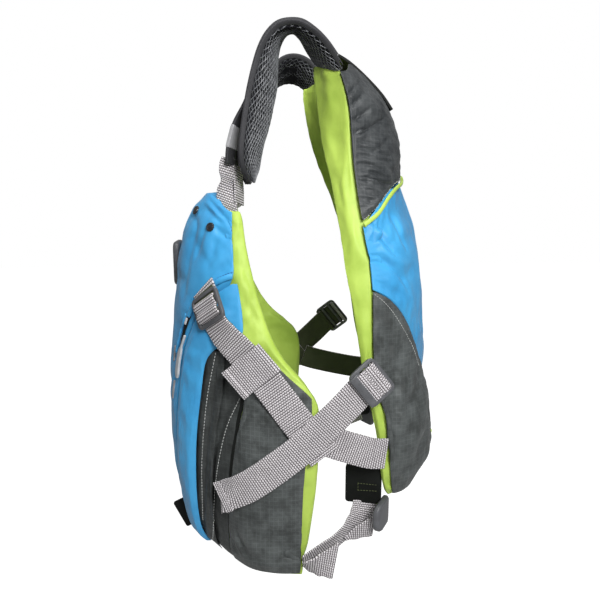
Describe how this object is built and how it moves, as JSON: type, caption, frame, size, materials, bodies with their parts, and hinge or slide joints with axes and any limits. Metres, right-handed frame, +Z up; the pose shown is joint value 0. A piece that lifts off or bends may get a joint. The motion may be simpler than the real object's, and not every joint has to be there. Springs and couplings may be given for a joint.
{
  "type": "life vest",
  "caption": "Empty foam paddling vest standing open as worn, with zipped front panels, a back panel, padded shoulder straps and a webbing harness at the sides.",
  "frame": {"origin": "point under the shoulder straps, midway between them, where the vest sits on the wearer", "axes": "+X to the wearer's left, +Y to the wearer's back, +Z up"},
  "size_m": [0.3306, 0.3184, 0.5602],
  "materials": {
    "blue_cloth": "bright blue coated nylon over foam, soft sheen",
    "lime_cloth": "lime green nylon lining over foam, soft sheen",
    "heather_cloth": "dark grey heather ripstop, matt",
    "charcoal_cloth": "charcoal nylon, matt",
    "black_cloth": "black nylon and zip tape",
    "air_mesh": "open spacer mesh, charcoal",
    "grey_webbing": "ribbed grey webbing",
    "grey_plastic": "moulded grey nylon",
    "pale_trim": "pale grey moulded pull"
  },
  "bodies": {
    "root": {"back_lining": "lime_cloth", "back_upper": "charcoal_cloth", "back_middle": "blue_cloth", "back_lower": "heather_cloth", "back_piping": "lime_cloth", "back_flap": "black_cloth", "back_tag": "lime_cloth", "centre_zip": "black_cloth", "chest_buckle": "grey_plastic", "hem_tab": "black_cloth", "front_lining_left": "lime_cloth", "front_lining_right": "lime_cloth", "front_chest_left": "blue_cloth", "front_chest_right": "blue_cloth", "pocket_face_left": "blue_cloth", "pocket_face_right": "blue_cloth", "pocket_pleat_outer_left": "heather_cloth", "pocket_pleat_outer_right": "heather_cloth", "pocket_pleat_inner_left": "heather_cloth", "pocket_pleat_inner_right": "heather_cloth", "front_side_left": "heather_cloth", "front_side_right": "heather_cloth", "pocket_zip_left": "black_cloth", "pocket_zip_right": "black_cloth", "zip_pull_left": "pale_trim", "zip_pull_right": "pale_trim", "eyelet_upper_left": "black_cloth", "eyelet_upper_right": "black_cloth", "eyelet_lower_left": "black_cloth", "eyelet_lower_right": "black_cloth", "shoulder_pad_left": "air_mesh", "shoulder_pad_right": "air_mesh", "shoulder_cover_left": "charcoal_cloth", "shoulder_cover_right": "charcoal_cloth", "shoulder_tab_left": "charcoal_cloth", "shoulder_tab_right": "charcoal_cloth", "shoulder_webbing_left": "grey_webbing", "shoulder_webbing_right": "grey_webbing", "side_strap_upper_left": "grey_webbing", "side_strap_upper_right": "grey_webbing", "side_strap_cross_left": "grey_webbing", "side_strap_cross_right": "grey_webbing", "side_strap_rear_left": "grey_webbing", "side_strap_rear_right": "grey_webbing", "strap_keeper_left": "grey_webbing", "strap_keeper_right": "grey_webbing", "waist_strap_left": "grey_webbing", "waist_strap_right": "grey_webbing", "front_ladder_lock_left": "grey_plastic", "front_ladder_lock_right": "grey_plastic", "rear_ladder_lock_left": "grey_plastic", "rear_ladder_lock_right": "grey_plastic", "waist_buckle_left": "grey_plastic", "waist_buckle_right": "grey_plastic", "waist_sleeve_left": "black_cloth", "waist_sleeve_right": "black_cloth"}
  },
  "joints": []
}
